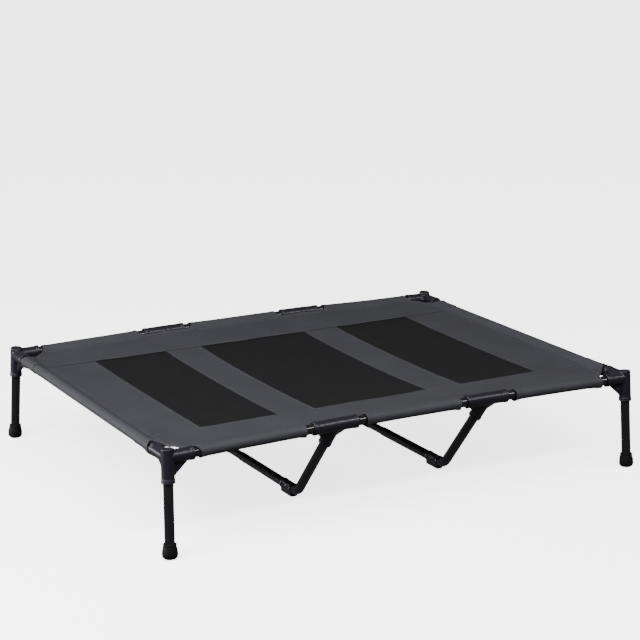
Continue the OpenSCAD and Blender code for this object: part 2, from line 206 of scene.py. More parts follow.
class CotFinish(bpy.types.PropertyGroup):
    """Colours of the cot's materials"""

    tube: colour("Tube", "Powder coat of the steel tubes", "#121115")
    moulding: colour("Moulding", "Moulded connectors", "#16131c")
    rubber: colour("Rubber", "Foot caps", "#09090b")
    cloth: colour("Cloth", "Coated cloth of the deck", "#28282d")
    mesh: colour("Mesh", "Textile mesh of the panels", "#09090b")
    thread: colour("Thread", "Sewing thread", "#3c3d42")
    floor: colour("Floor", "Studio floor", "#f2f2f2")


class CotCamera(bpy.types.PropertyGroup):
    """Where the camera stands"""

    azimuth: bpy.props.FloatProperty(
        name="Azimuth", description="Turn round the cot", default=math.radians(-29.685),
        subtype="ANGLE", unit="ROTATION",
    )
    elevation: bpy.props.FloatProperty(
        name="Elevation", description="Height over the horizon", default=math.radians(14.862),
        subtype="ANGLE", unit="ROTATION",
    )
    roll: bpy.props.FloatProperty(
        name="Roll", description="Turn round the line of sight", default=math.radians(0.31),
        subtype="ANGLE", unit="ROTATION",
    )
    distance: length("Distance", "From the cot's middle", 4.39786, 0.5, 20)
    across: length("Across", "How far the camera stands to the right", 13.684 * MM, -1, 1)
    up: length("Up", "How far the camera stands up", 313.719 * MM, -1, 1)
    lens: bpy.props.FloatProperty(
        name="Lens", description="Focal length in millimetres", default=103.178,
        subtype="DISTANCE_CAMERA",
    )


# ---- Small helpers -------------------------------------------------------------------


def node(tree, kind, inputs=(), **settings):
    """Adds a shader node with its settings and links."""
    made = tree.nodes.new(kind)
    for name, value in settings.items():
        setattr(made, name, value)
    for socket, source in dict(inputs).items():
        if isinstance(source, bpy.types.NodeSocket):
            tree.links.new(source, made.inputs[socket])
        else:
            made.inputs[socket].default_value = source
    return made


def new_material(name):
    """A material with only its output, and its node tree."""
    material = bpy.data.materials.new(name)
    material.use_nodes = True
    material.node_tree.nodes.clear()
    return material, material.node_tree


def only(obj):
    """Makes obj the one selected and active object."""
    bpy.ops.object.select_all(action="DESELECT")
    obj.select_set(True)
    bpy.context.view_layer.objects.active = obj
    return obj


def mesh_object(name, points, faces, uv=None):
    """A mesh from its corners and faces, and its flat place as a map where it has one."""
    data = bpy.data.meshes.new(name)
    data.from_pydata([tuple(p) for p in points], [], [tuple(f) for f in faces])
    if uv is not None:
        layer = data.uv_layers.new(name="UVMap")
        corner = np.empty(len(data.loops), int)
        data.loops.foreach_get("vertex_index", corner)
        layer.data.foreach_set("uv", np.asarray(uv, float)[corner].ravel())
    obj = bpy.data.objects.new(name, data)
    bpy.context.scene.collection.objects.link(obj)
    return obj


def apply(obj, kind, **settings):
    """Adds a modifier to obj and applies it."""
    only(obj)
    modifier = obj.modifiers.new(kind.title(), kind)
    for key, value in settings.items():
        setattr(modifier, key, value)
    bpy.ops.object.modifier_apply(modifier=modifier.name)


def turned(name, profile, sides=64):
    """A turned solid along +Z, drawn out from its first ring through each next one. The profile
    holds heights and radii."""
    bpy.ops.object.select_all(action="DESELECT")
    z, r = profile[0]
    bpy.ops.mesh.primitive_circle_add(vertices=sides, radius=r, fill_type="NGON")
    obj = bpy.context.object
    obj.name = obj.data.name = name
    bpy.ops.object.mode_set(mode="EDIT")
    bpy.ops.mesh.select_all(action="SELECT")
    bpy.ops.transform.translate(value=(0, 0, z))
    for high, wide in profile[1:]:
        bpy.ops.mesh.extrude_region_move(TRANSFORM_OT_translate={"value": (0, 0, high - z)})
        bpy.ops.transform.resize(value=(wide / r, wide / r, 1), center_override=(0, 0, 0))
        z, r = high, wide
    bpy.ops.mesh.select_all(action="SELECT")
    bpy.ops.mesh.normals_make_consistent(inside=False)
    bpy.ops.object.mode_set(mode="OBJECT")
    return obj


def aim(obj, place, direction):
    """Turns an upright piece along a direction from a place, in its mesh."""
    turn = Vector(direction).to_track_quat("Z", "Y").to_matrix().to_4x4()
    obj.data.transform(Matrix.Translation(place) @ turn)
    return obj


def plate(name, outline, thickness):
    """A flat plate round an outline, of even thickness about it."""
    obj = mesh_object(name, outline, [range(len(outline))])
    apply(obj, "SOLIDIFY", thickness=thickness, offset=0)
    return obj


def combine(obj, others, operation="UNION"):
    """Joins the other solids to obj, or cuts them out of it."""
    for other in others:
        apply(obj, "BOOLEAN", operation=operation, object=other, solver="EXACT")
        bpy.data.objects.remove(other)
    return obj


def moulded(obj, cell):
    """Blends a connector's solids into one moulding with small fillets."""
    apply(obj, "REMESH", mode="VOXEL", voxel_size=cell)
    apply(obj, "SMOOTH", factor=0.5, iterations=3)
    apply(obj, "DECIMATE", ratio=0.5)
    obj.data.shade_smooth()
    return obj


def mirrored(pattern, name, x, y):
    """A copy of a pattern with its own mesh, mirrored across the cot."""
    obj = bpy.data.objects.new(name, pattern.data.copy())
    obj.data.name = name
    bpy.context.scene.collection.objects.link(obj)
    obj.data.transform(Matrix.Diagonal((x, y, 1, 1)))
    if x * y < 0:
        obj.data.flip_normals()
    return obj


def dress(obj, material, body):
    """Gives a piece its material and the body that it moves with."""
    obj.data.materials.clear()
    obj.data.materials.append(material)
    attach(obj, body)


def smooth_step(t):
    """From 0 to 1, level at both ends."""
    t = np.clip(t, 0, 1)
    return t * t * (3 - 2 * t)


# ---- Shape of the deck ---------------------------------------------------------------

CELL = 6 * MM  # grid of the stretched cloth
BEND_CELL = 2.6 * MM  # grid of the cloth round a rail
FIELD_ROWS = 20  # grid rows of a side strip, from its inner edge to its sleeve's seam
BORDER_ROWS = 12  # and from there to where its sleeve or its cut-out begins

STRIP_LAYER = 0.5 * MM  # how high each layer of cloth lies over the deck's surface
PANEL_LAYER = -0.4 * MM
MESH_LAYER = -1.4 * MM

TURNED = 7 * MM  # width of a turned edge along the mesh
TURNED_LIFT = 0.3 * MM  # how far it stands up
HEM_LIFT = 0.5 * MM  # how far the hem of a cut-out stands up
STEP = 1.2 * MM  # width of the step at the inner edge of such a hem
RISE_RUN = 20 * MM  # how far from a corner's cut-out its edge is pulled up
LIP_RUN = 2.5 * MM  # width of the lip that is turned down there

FLARE_LIFT = 2.4 * MM  # how far the loose ends of a sleeve stand off
FLARE_RUN = 11 * MM  # how far along the sleeve that goes
FLARE_RISE, FLARE_FALL = 15 * MM, 20 * MM  # how far round the rail it takes to rise and to fall
FLARE_WAVE, FLARE_PITCH = 0.5 * MM, 17 * MM  # height and length of the waves in it

PUCKER_LIFT = 0.28 * MM  # height of the puckers beside a sleeve's seam
PUCKER_REACH = 7 * MM  # how far from the seam they go
STRIP_PUCKERS = (13 * MM, 41)  # their length along the seam, and how fast that length varies
PANEL_PUCKERS = (14 * MM, 37)

CORNER_FOLD = 0.7 * MM  # height of the soft folds that fan out from a corner
CORNER_FANS = 13  # waves in a whole turn of the fan
CORNER_RUN, CORNER_FADE = 70 * MM, 60 * MM  # how far they go, and over how much they then fade
TEE_FOLD = 0.6 * MM  # height of the soft folds beside a tee's cut-out
TEE_PITCH = 15 * MM  # their length along the strip
TEE_FADE, TEE_REACH = 14 * MM, 40 * MM  # how fast they fade along the strip and inwards
FOLD_END = 20 * MM  # width over which all folds flatten out before a sleeve's crest

RIPPLE_LIFT = 0.5 * MM  # height of the low waves all over the deck
RIPPLE_WAVE = 160 * MM  # length of those waves
RIPPLES = 6  # how many of them are added up
RIPPLE_SEED = 3


class Sleeve:
    """The closed loop of cloth round a rail, seen across the rail: from its seam straight up
    to the rail's round top, round the outside, and back beneath to the seam."""

    def __init__(self, cloth):
        self.radius, self.reach = cloth.sleeve_radius, cloth.sleeve_reach
        self.lean = math.acos(self.radius / self.reach)
        self.straight = self.radius * math.tan(self.lean)
        self.round = self.radius * (2 * math.pi - 2 * self.lean)
        self.crest = self.straight + self.radius * (math.pi / 2 - self.lean)
        self.closing = 2 * self.straight + self.round
        self.end = self.closing + cloth.sleeve_hem
        self.drop = cloth.thickness * 1.4

    def place(self, w):
        """Distance inside the rail's axis, and height over it, at a distance past the seam."""
        turn = self.lean + (w - self.straight) / self.radius
        low = w - self.straight - self.round
        parts = [w < 0, w < self.straight, w < self.straight + self.round, w < self.closing]
        s, c = math.sin(self.lean), math.cos(self.lean)
        inside = np.select(parts, [
            self.reach - w, self.reach - w * s, self.radius * np.cos(turn), self.radius * c + low * s,
        ], self.reach + low - self.straight)
        up = np.select(parts, [
            0 * w, w * c, self.radius * np.sin(turn), low * c - self.radius * s,
        ], 0)
        return inside, up - self.drop * smooth_step(low / self.straight)

    def past_seam(self, inside):
        """Distance past the seam at a distance inside the rail's axis, on the upper side."""
        inside = np.asarray(inside, float)
        straight = (self.reach - inside) / math.sin(self.lean)
        turn = np.arccos(np.clip(inside / self.radius, 0, 1))
        over = self.straight + self.radius * (turn - self.lean)
        return np.where(
            inside >= self.reach, self.reach - inside,
            np.where(inside >= self.radius * math.cos(self.lean), straight, over),
        )


class Deck:
    """The deck as one surface over two unrolled lengths: p along the cot and q across it."""

    def __init__(self, cloth):
        self.cloth, self.sleeve = cloth, Sleeve(cloth)
        self.p_seam = HALF_L - cloth.sleeve_reach
        self.q_seam = HALF_W - cloth.sleeve_reach
        self.cuts = {
            (SIDE[x], SIDE[y]): (*getattr(cloth, f"{y}_{x}"), getattr(cloth, f"round_{y}_{x}"))
            for x, y in CORNERS
        }
        self.slants = {(SIDE[x], SIDE[y]): getattr(cloth, f"slant_{y}_{x}") for x, y in CORNERS}

    def plane(self, x, y):
        """Height of the stretched deck between its rails."""
        run = np.clip((HALF_L - abs(x)) / (HALF_L - TEE_X), 0, 1)
        u = np.clip(abs(x) / self.p_seam, 0, 1)
        v = np.clip(abs(y) / self.q_seam, 0, 1)
        return RAIL_Z + (TEE_Z - RAIL_Z) * run * v**2 - self.cloth.sag * (1 - u**2) * (1 - v**3)

    def point(self, p, q):
        """Place in the cot of an unrolled place."""
        ax, zx = self.sleeve.place(abs(p) - self.p_seam)
        ay, zy = self.sleeve.place(abs(q) - self.q_seam)
        x, y = np.sign(p) * (HALF_L - ax), np.sign(q) * (HALF_W - ay)
        inner = (ax > 0) & (ay > 0) & (abs(p) < HALF_L) & (abs(q) < HALF_W)
        near = np.maximum(self.corner_distance(p, q, np.maximum(ax, 0), np.maximum(ay, 0)), 0)
        lip = self.cloth.cut_lip * (1 - smooth_step(near / LIP_RUN))
        rise = self.cloth.cut_rise * np.exp(-near / RISE_RUN) - lip
        rise = np.where(inner, rise * (1 - smooth_step((zx + zy) / self.cloth.sleeve_radius)), 0)
        return np.stack([x, y, self.plane(x, y) + zx + zy + rise], -1)

    def cut(self, p, q):
        """The cut-out of the corner that each place belongs to."""
        p, q = np.broadcast_arrays(p, q)
        keys = [(np.where(p < 0, -1, 1) == x) & (np.where(q < 0, -1, 1) == y) for x, y in self.cuts]
        return [np.select(keys, [cut[k] for cut in self.cuts.values()]) for k in range(3)]

    def corner_distance(self, p, q, ax, ay):
        """Distance of a place from its corner's cut-out. It lies ax and ay inside the rails."""
        long, short, power = self.cut(p, q)
        return ring_distance(ax, ay, long, short, power)

    def normal(self, p, q):
        """Direction straight out of the cloth, from four places close by."""
        near = 0.3 * MM
        along = self.point(p + near, q) - self.point(p - near, q)
        across = self.point(p, q + near) - self.point(p, q - near)
        n = np.cross(along, across)
        return n / np.linalg.norm(n, axis=-1, keepdims=True)

    def edge_distance(self, p, q):
        """Distance of a place on a side strip from its nearest cut-out."""
        cloth, sleeve = self.cloth, self.sleeve
        wx, wy = abs(p) - self.p_seam, abs(q) - self.q_seam
        ax = np.where(wx < sleeve.crest, sleeve.place(wx)[0], 0)
        ay = np.where(wy < sleeve.crest, sleeve.place(wy)[0], 0)
        beside = np.maximum(0, abs((HALF_L - ax) - TEE_X) - (cloth.notch_half - cloth.notch_run))
        return np.minimum(
            self.corner_distance(p, q, ax, ay),
            ring_distance(beside, ay, cloth.notch_run, cloth.notch_depth),
        )

    def relief(self, p, q):
        """Lift of a side strip's face: turned edges, loose sleeve ends, puckers and folds."""
        edge = self.edge_distance(p, q)
        wx, wy = abs(p) - self.p_seam, abs(q) - self.q_seam
        w = np.maximum(wx, wy)
        along = np.where(wy >= wx, p, q)
        hem = HEM_LIFT * (1 - smooth_step((edge - self.cloth.hem) / STEP))
        pucker = puckers(w, along, *STRIP_PUCKERS)
        return hem + self.flare(w, edge) + pucker + self.corner_folds(p, q, w) + self.tee_folds(p, wy)

    def flare(self, w, edge):
        """Lift of a sleeve's loose ends, round the outside of its rail."""
        loose = smooth_step((w - self.sleeve.crest) / FLARE_RISE)
        loose = loose * smooth_step((self.sleeve.closing - w) / FLARE_FALL)
        fade = np.exp(-np.maximum(edge, 0) / FLARE_RUN)
        return loose * fade * (FLARE_LIFT + FLARE_WAVE * np.sin(math.tau * w / FLARE_PITCH))

    def corner_folds(self, p, q, w):
        """Lift of the soft folds that fan out from each corner, each corner's a little turned."""
        reach = self.cloth.sleeve_reach
        rx, ry = self.p_seam + reach - abs(p), self.q_seam + reach - abs(q)
        away = np.maximum(np.hypot(rx, ry) - CORNER_RUN, 0)
        turn = np.arctan2(np.maximum(ry, 0), np.maximum(rx, 1 * MM))
        phase = np.where(p < 0, 1.1, 2.7) + np.where(q < 0, 0.6, 0.0)
        folds = CORNER_FOLD * np.exp(-away / CORNER_FADE) * np.cos(CORNER_FANS * turn + phase)
        return folds * smooth_step((self.sleeve.crest - w) / FOLD_END)

    def tee_folds(self, p, wy):
        """Lift of the soft folds beside each tee's cut-out."""
        beside = abs(abs(p) - TEE_X) - self.cloth.notch_half
        folds = TEE_FOLD * np.exp(-abs(beside) / TEE_FADE) * np.exp(-np.maximum(-wy, 0) / TEE_REACH)
        folds = folds * np.cos(math.tau * beside / TEE_PITCH)
        return folds * smooth_step((self.sleeve.crest - wy) / FOLD_END)

    def outer(self, w):
        """How far round its rail a sleeve has gone from its crest to its outer side, from 0 to 1."""
        return smooth_step((w - self.sleeve.crest) / (self.sleeve.radius * math.pi / 2))

    def lifted(self, p, q, lift):
        """Place in the cot of an unrolled place, lifted out of the surface."""
        return self.point(p, q) + self.normal(p, q) * np.asarray(lift)[..., None]


def ring_distance(x, y, a, b, n=2.0):
    """Distance outside an oval of half axes a and b about the origin, an ellipse where n is 2."""
    x, y = np.maximum(x, 1e-5), np.maximum(y, 1e-5)
    g = np.maximum(((x / a) ** n + (y / b) ** n) ** (1 / n), 0.05)
    slope = np.hypot(x ** (n - 1) / a**n, y ** (n - 1) / b**n)
    return (g - 1) * g ** (n - 1) / np.maximum(slope, 1e-6)


def span(start, end, cell):
    """Places from start to end, no further apart than a cell."""
    return np.linspace(start, end, max(2, int(math.ceil(abs(end - start) / cell)) + 1))


def joined(*runs):
    """Runs of places as one, each place once."""
    return np.unique(np.round(np.concatenate(runs), 7))


class Patches:
    """Grids of cloth on the deck, welded into one piece."""

    def __init__(self, deck):
        self.deck, self.area = deck, 0.0
        self.points, self.faces, self.uv = [], [], []

    def add(self, p, q, lift):
        """Adds a grid of unrolled places and its flat area."""
        n, m = p.shape
        first = sum(len(b) for b in self.points)
        self.points.append(self.deck.lifted(p, q, lift).reshape(-1, 3))
        self.uv.append(np.stack([p, q], -1).reshape(-1, 2))
        i, j = np.meshgrid(np.arange(n - 1), np.arange(m - 1), indexing="ij")
        a = (first + i * m + j).ravel()
        self.faces.append(np.stack([a, a + m, a + m + 1, a + 1], -1))
        dp = np.diff(p, axis=0)[:, :-1] + np.diff(p, axis=0)[:, 1:]
        dq = np.diff(q, axis=1)[:-1] + np.diff(q, axis=1)[1:]
        self.area += float(np.abs(dp * dq).sum() / 4)

    def build(self, name, thickness):
        """Welds the grids and gives the cloth its thickness, downwards."""
        obj = mesh_object(name, *map(np.concatenate, (self.points, self.faces, self.uv)))
        work = bmesh.new()
        work.from_mesh(obj.data)
        bmesh.ops.remove_doubles(work, verts=work.verts, dist=0.02 * MM)
        work.to_mesh(obj.data)
        work.free()
        apply(obj, "SOLIDIFY", thickness=thickness, offset=-1)
        obj.data.shade_smooth()
        only(obj)
        bpy.ops.object.shade_smooth_by_angle(angle=math.radians(50))
        return obj


def waver(p):
    """Slight wander of a strip's edge along the mesh, in waves about 150 and 80 mm long."""
    return 0.7 * MM * np.sin(p * 41 + 0.4) + 0.5 * MM * np.sin(p * 77 + 1.9)


def puckers(w, along, pitch, change):
    """Lift of the small puckers that the sewing draws in beside a sleeve's seam."""
    near = np.exp(-((w / PUCKER_REACH) ** 2))
    return PUCKER_LIFT * near * np.sin(math.tau * along / pitch + 2 * np.sin(change * along))


def ripples(p, q):
    """Low, soft waves of stretched cloth, the same in each layer and at each run."""
    chance = np.random.default_rng(RIPPLE_SEED)
    total = 0 * p
    for _ in range(RIPPLES):
        turn, phase = chance.uniform(0, math.tau), chance.uniform(0, math.tau)
        k = math.tau / (RIPPLE_WAVE * chance.uniform(0.7, 1.5))
        total = total + np.sin(k * (p * math.cos(turn) + q * math.sin(turn)) + phase)
    return RIPPLE_LIFT * total / RIPPLES


# ---- Materials -----------------------------------------------------------------------

COLOUR_A, COLOUR_B, COLOUR = 6, 7, 2  # a Mix node's two colour inputs and its colour output
MULTIPLY = {"data_type": "RGBA", "blend_type": "MULTIPLY"}  # its settings to shade a colour
NOISE_LOW, NOISE_HIGH = 0.3, 0.7  # nearly all of a Noise node's values lie between these


def grained(tree, place, size, detail, strength, height):
    """A surface roughened by grains of a size and a height."""
    grain = node(tree, "ShaderNodeTexNoise", {"Vector": place, "Scale": 1 / size, "Detail": detail})
    bump = node(tree, "ShaderNodeBump", {
        "Height": grain.outputs["Fac"], "Strength": strength, "Distance": height,
    })
    return bump.outputs["Normal"]


def uneven(tree, place, size, detail, low, high):
    """A value that drifts between low and high, in soft patches of a size."""
    patch = node(tree, "ShaderNodeTexNoise", {"Vector": place, "Scale": 1 / size, "Detail": detail})
    level = node(tree, "ShaderNodeMapRange", {
        "Value": patch.outputs["Fac"], "From Min": NOISE_LOW, "From Max": NOISE_HIGH,
        "To Min": low, "To Max": high,
    })
    return level.outputs["Result"]


def surfaced(material, inputs):
    """Gives a material its surface."""
    tree = material.node_tree
    shader = node(tree, "ShaderNodeBsdfPrincipled", inputs)
    node(tree, "ShaderNodeOutputMaterial", {"Surface": shader.outputs["BSDF"]})
    return material


def powder_coated_steel(finish):
    """Powder-coated steel tube: thin polyester film, so a fairly sharp sheen broken up by the
    coat's orange peel, which is about 1.5 mm from crest to crest."""
    material, tree = new_material("Powder-coated steel")
    place = node(tree, "ShaderNodeTexCoord").outputs["Object"]
    return surfaced(material, {
        "Base Color": [*finish.tube, 1],
        "Roughness": uneven(tree, place, 22.2 * MM, 3.0, 0.09, 0.14),
        "IOR": 1.5,
        "Specular IOR Level": 0.5,
        "Normal": grained(tree, place, 1.54 * MM, 2.0, 0.12, 0.1 * MM),
    })


def moulded_polypropylene(finish):
    """Injection-moulded polypropylene: satin, with the mould's fine spark-eroded grain."""
    material, tree = new_material("Moulded polypropylene")
    place = node(tree, "ShaderNodeTexCoord").outputs["Object"]
    return surfaced(material, {
        "Base Color": [*finish.moulding, 1],
        "Roughness": uneven(tree, place, 16.7 * MM, 2.0, 0.3, 0.38),
        "IOR": 1.49,
        "Specular IOR Level": 0.3,
        "Normal": grained(tree, place, 0.714 * MM, 2.0, 0.15, 0.1 * MM),
    })


def moulded_rubber(finish):
    """Moulded rubber: matt, soft highlights and a slight bloom."""
    material, tree = new_material("Moulded rubber")
    place = node(tree, "ShaderNodeTexCoord").outputs["Object"]
    return surfaced(material, {
        "Base Color": [*finish.rubber, 1],
        "Roughness": uneven(tree, place, 11.1 * MM, 3.0, 0.55, 0.7),
        "IOR": 1.52,
        "Specular IOR Level": 0.1,
        "Normal": grained(tree, place, 0.833 * MM, 3.0, 0.2, 0.1 * MM),
    })


def woven(tree, pitch):
    """Height of a plain weave on the piece's own map, with a thread each pitch both ways. A
    Wave node's bands are pi / 10 apart at a scale of 1."""
    place = node(tree, "ShaderNodeUVMap", uv_map="UVMap").outputs["UV"]
    waves = {"Vector": place, "Scale": math.pi / (10 * pitch)}
    warp = node(tree, "ShaderNodeTexWave", waves, bands_direction="X")
    weft = node(tree, "ShaderNodeTexWave", waves, bands_direction="Y")
    both = node(
        tree, "ShaderNodeMath", {0: warp.outputs["Fac"], 1: weft.outputs["Fac"]}, operation="MULTIPLY"
    )
    return place, both.outputs["Value"]


def coated_oxford_cloth(finish):
    """Polyester oxford cloth with a coated back: matt, a plain weave of 0.5 mm threads drawn at
    1.2 mm so that it shows, and faint slubs and shade changes."""
    material, tree = new_material("Coated oxford cloth")
    place, weave = woven(tree, 1.2 * MM)
    slub = node(tree, "ShaderNodeTexNoise", {
        "Vector": place, "Scale": 1 / (6.25 * MM), "Detail": 4.0, "Roughness": 0.6,
    }).outputs["Fac"]
    drift = node(tree, "ShaderNodeTexNoise", {"Vector": place, "Scale": 1 / (111 * MM), "Detail": 3.0})
    faint = node(tree, "ShaderNodeMath", {0: slub, 1: 0.55}, operation="MULTIPLY")
    mixed = node(
        tree, "ShaderNodeMath", {0: faint.outputs["Value"], 1: drift.outputs["Fac"]}, operation="ADD"
    )
    shade = node(tree, "ShaderNodeMapRange", {
        "Value": mixed.outputs["Value"], "From Min": 0.5, "From Max": 1.05, "To Min": 0.86, "To Max": 1.14,
    })
    base = node(tree, "ShaderNodeMix", {
        "Factor": 1.0, COLOUR_A: [*finish.cloth, 1], COLOUR_B: shade.outputs["Result"],
    }, **MULTIPLY)
    height = node(tree, "ShaderNodeMath", {0: weave, 1: slub}, operation="ADD")
    bump = node(tree, "ShaderNodeBump", {
        "Height": height.outputs["Value"], "Strength": 0.25, "Distance": 0.25 * MM,
    })
    return surfaced(material, {
        "Base Color": base.outputs[COLOUR],
        "Roughness": 0.72,
        "IOR": 1.5,
        "Specular IOR Level": 0.3,
        "Normal": bump.outputs["Normal"],
    })


def textile_mesh(finish):
    """Vinyl-coated polyester mesh: round strands woven 1.6 mm apart and a low sheen on each. The openings
    between them are not cut. Their colour is darkened as painted shade, standing for the shaded space seen
    through them, and they are too small to see through from the side."""
    material, tree = new_material("Textile mesh")
    place, weave = woven(tree, 1.6 * MM)
    base = node(tree, "ShaderNodeMix", {
        "Factor": 1.0, COLOUR_A: [*finish.mesh, 1],
        COLOUR_B: uneven(tree, place, 71.4 * MM, 3.0, 0.85, 1.15),
    }, **MULTIPLY)
    # Painted shade: the weave's openings are darkened to a quarter of the mesh colour, standing for the
    # shaded space seen through them
    painted_hole_shade = node(tree, "ShaderNodeMapRange", {
        "Value": weave, "From Min": 0.55, "From Max": 0.95, "To Min": 1.0, "To Max": 0.25,
    })
    hole_shaded_colour = node(tree, "ShaderNodeMix", {
        "Factor": 1.0, COLOUR_A: base.outputs[COLOUR], COLOUR_B: painted_hole_shade.outputs["Result"],
    }, **MULTIPLY)
    bump = node(tree, "ShaderNodeBump", {"Height": weave, "Strength": 0.5, "Distance": 0.4 * MM})
    return surfaced(material, {
        "Base Color": hole_shaded_colour.outputs[COLOUR],
        "Roughness": 0.7,
        "IOR": 1.5,
        "Specular IOR Level": 0.2,
        "Normal": bump.outputs["Normal"],
    })


def polyester_thread(finish):
    """Bonded polyester thread: a smooth, slightly shiny strand."""
    material, tree = new_material("Polyester thread")
    place = node(tree, "ShaderNodeTexCoord").outputs["Object"]
    return surfaced(material, {
        "Base Color": [*finish.thread, 1],
        "Roughness": 0.45,
        "IOR": 1.5,
        "Normal": grained(tree, place, 0.4 * MM, 1.0, 0.3, 0.05 * MM),
    })


def material(name, maker):
    """The scene's one material of that name, made on first use."""
    return bpy.data.materials.get(name) or maker(bpy.context.scene.cot_finish)


# ---- Operators: the frame ------------------------------------------------------------


def refinish(starts, name, maker):
    """Gives CAD nodes a better material."""
    finish = material(name, maker)
    for key, obj in frame["nodes"].items():
        if key.startswith(starts):
            for place in obj.material_slots:
                place.material = finish


class COT_OT_tubes(bpy.types.Operator):
    """Powder-coats the rails, legs, support legs and crossbars"""

    bl_idname = "cot.tubes"
    bl_label = "Tubes"

    def execute(self, context):
        tubes = ("long_rail", "short_rail", "corner_leg", "support_leg", "crossbar")
        refinish(tubes, "Powder-coated steel", powder_coated_steel)
        return {"FINISHED"}


def socket(fit, radius, reach, start=0.0):
    """Profile of a socket with a bead and a lip at its mouth."""
    ring, bead, lip = radius + fit.ring, reach - 8 * MM, reach - 4 * MM
    return [
        (start, radius), (bead - 0.6 * MM, radius), (bead, ring), (bead + 2 * MM, ring),
        (bead + 2.6 * MM, radius), (lip - 0.4 * MM, radius), (lip + 0.2 * MM, ring),
        (reach - 0.6 * MM, ring), (reach, radius + fit.ring * 0.3),
    ]


def hole(fit, place, direction, start, end):
    """A cutter for the hole that a tube sits in."""
    wide = TUBE_R + fit.bore_gap
    return aim(turned("hole", [(start, wide), (end, wide)]), place, direction)


def bore(fit, place, direction, reach):
    """The cutter for a socket's hole, from its stop to a little past its mouth."""
    return hole(fit, place, direction, 13 * MM, reach + 2 * MM)


def joint_axis(name):
    """Direction in which a leg is pulled out."""
    return Vector(next(j["axis"] for j in frame["joints"] if j["name"] == name)).normalized()


def corner_pattern(fit):
    """The connector of the front right corner."""
    corner = Vector((HALF_L, -HALF_W, RAIL_Z))
    down = joint_axis("leg_pull_front_right")
    along = (Vector((TEE_X, -HALF_W, TEE_Z)) - corner).normalized()
    across = Vector((0, 1, 0))
    r, top = fit.corner_barrel, -fit.boss
    dish = top + 1.8 * MM
    post = turned("corner_post", [
        # The boss's dish, then its rim and round edge, then the leg's socket
        (dish, 0.5 * MM), (dish, 9.6 * MM), (top + 0.3 * MM, 10.2 * MM), (top, 10.9 * MM),
        (top, r - 1.2 * MM), (top + 0.4 * MM, r - 0.4 * MM), (top + 1.2 * MM, r),
        *socket(fit, r, fit.leg_arm, top + 3 * MM)[1:],
    ])
    aim(post, corner, down)
    arms = [
        aim(turned("long_arm", socket(fit, r, fit.long_arm)), corner, along),
        aim(turned("short_arm", socket(fit, r, fit.short_arm)), corner, across),
    ]
    reach = 44 * MM
    webs = [
        plate("web", [
            corner, corner + way * reach, corner + way * reach + down * r,
            corner + way * (r + 1 * MM) + down * 40 * MM, corner + down * 40 * MM,
        ], fit.web)
        for way in (along, across)
    ]
    webs.append(plate("flat_web", [corner, corner + along * 34 * MM, corner + across * 34 * MM], fit.web))
    combine(post, arms + webs)
    bores = [bore(fit, corner, down, fit.leg_arm), bore(fit, corner, along, fit.long_arm),
             bore(fit, corner, across, fit.short_arm)]
    return moulded(combine(post, bores, "DIFFERENCE"), fit.cell)


def tee_pattern(fit):
    """The tee on the front right of the long rail."""
    tee = Vector((TEE_X, -HALF_W, TEE_Z))
    outer = (Vector((HALF_L, -HALF_W, RAIL_Z)) - tee).normalized()
    inner = Vector((-1, 0, 0))
    leg = Vector((0, math.sin(fit.tee_lean), -math.cos(fit.tee_lean)))
    r = fit.tee_barrel
    body = aim(turned("tee_arm", socket(fit, r, fit.tee_arm)), tee, outer)
    others = [
        aim(turned("tee_arm", socket(fit, r, fit.tee_arm)), tee, inner),
        aim(turned("tee_leg", [
            (0, r), (fit.tee_leg - 5 * MM, r), (fit.tee_leg - 4 * MM, r + fit.ring),
            (fit.tee_leg - 0.6 * MM, r + fit.ring), (fit.tee_leg, r + fit.ring * 0.3),
        ]), tee, leg),
    ]
    for way in (outer, inner):
        others.append(plate("web", [
            tee, tee + way * 42 * MM, tee + way * 42 * MM + leg * r,
            tee + way * (r + 1 * MM) + leg * 46 * MM, tee + leg * 46 * MM,
        ], fit.web))
    combine(body, others)
    bores = [bore(fit, tee, outer, fit.tee_arm), bore(fit, tee, inner, fit.tee_arm),
             bore(fit, tee, leg, fit.tee_leg)]
    return moulded(combine(body, bores, "DIFFERENCE"), fit.cell)


def coupling_pattern(fit):
    """The floor coupling on the front right, over its foot."""
    low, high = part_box("floor_coupling_front_right")
    mid = middle("floor_coupling_front_right")
    axis = Vector((mid.x, low.y, high.z - fit.coupling))
    reach = high.y - low.y
    r = fit.coupling
    waist = r - 0.8 * MM
    barrel = aim(turned("coupling", [
        (0, waist), (0.8 * MM, r), (5 * MM, r), (5.6 * MM, waist), (reach - 5.6 * MM, waist),
        (reach - 5 * MM, r), (reach - 0.8 * MM, r), (reach, waist),
    ]), axis, (0, 1, 0))
    half, edge = fit.pad / 2, 1.5 * MM
    foot = plate("coupling_foot", [
        (mid.x - half, mid.y, axis.z), (mid.x - half, mid.y, edge), (mid.x - half + edge, mid.y, 0),
        (mid.x + half - edge, mid.y, 0), (mid.x + half, mid.y, edge), (mid.x + half, mid.y, axis.z),
    ], reach - 1 * MM)
    combine(barrel, [foot])
    wall = 2 * MM  # half of what is left between the two tubes
    bores = [
        hole(fit, axis, (0, 1, 0), start, end)
        for start, end in ((-1 * MM, reach / 2 - wall), (reach / 2 + wall, reach + 1 * MM))
    ]
    return moulded(combine(barrel, bores, "DIFFERENCE"), fit.cell)


